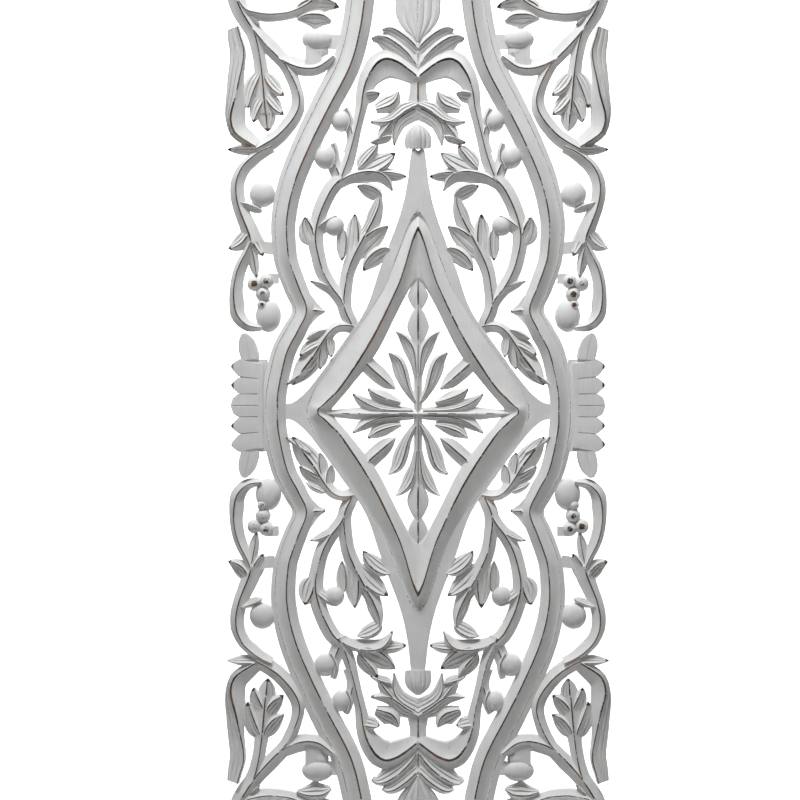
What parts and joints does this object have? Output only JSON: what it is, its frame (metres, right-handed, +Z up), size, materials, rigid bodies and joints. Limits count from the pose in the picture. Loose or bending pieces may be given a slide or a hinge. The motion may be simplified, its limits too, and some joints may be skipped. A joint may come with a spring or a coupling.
{
  "type": "carved wall panel",
  "caption": "Upright openwork wall panel carved with scrolling leaves, side mouldings and a diamond frame, painted white and rubbed back to the wood on its edges.",
  "frame": {"origin": "on the flat back, at the centre of the diamond's flower, where the panel bears on the wall", "axes": "+X to the right as seen from the front, +Y from the carved front to the wall, +Z up the panel"},
  "size_m": [0.386, 0.018, 0.8],
  "materials": {
    "whitewashed_wood": "white paint rubbed back to brown wood along the crests and edges"
  },
  "bodies": {
    "root": {"carved_panel": "whitewashed_wood"}
  },
  "joints": []
}
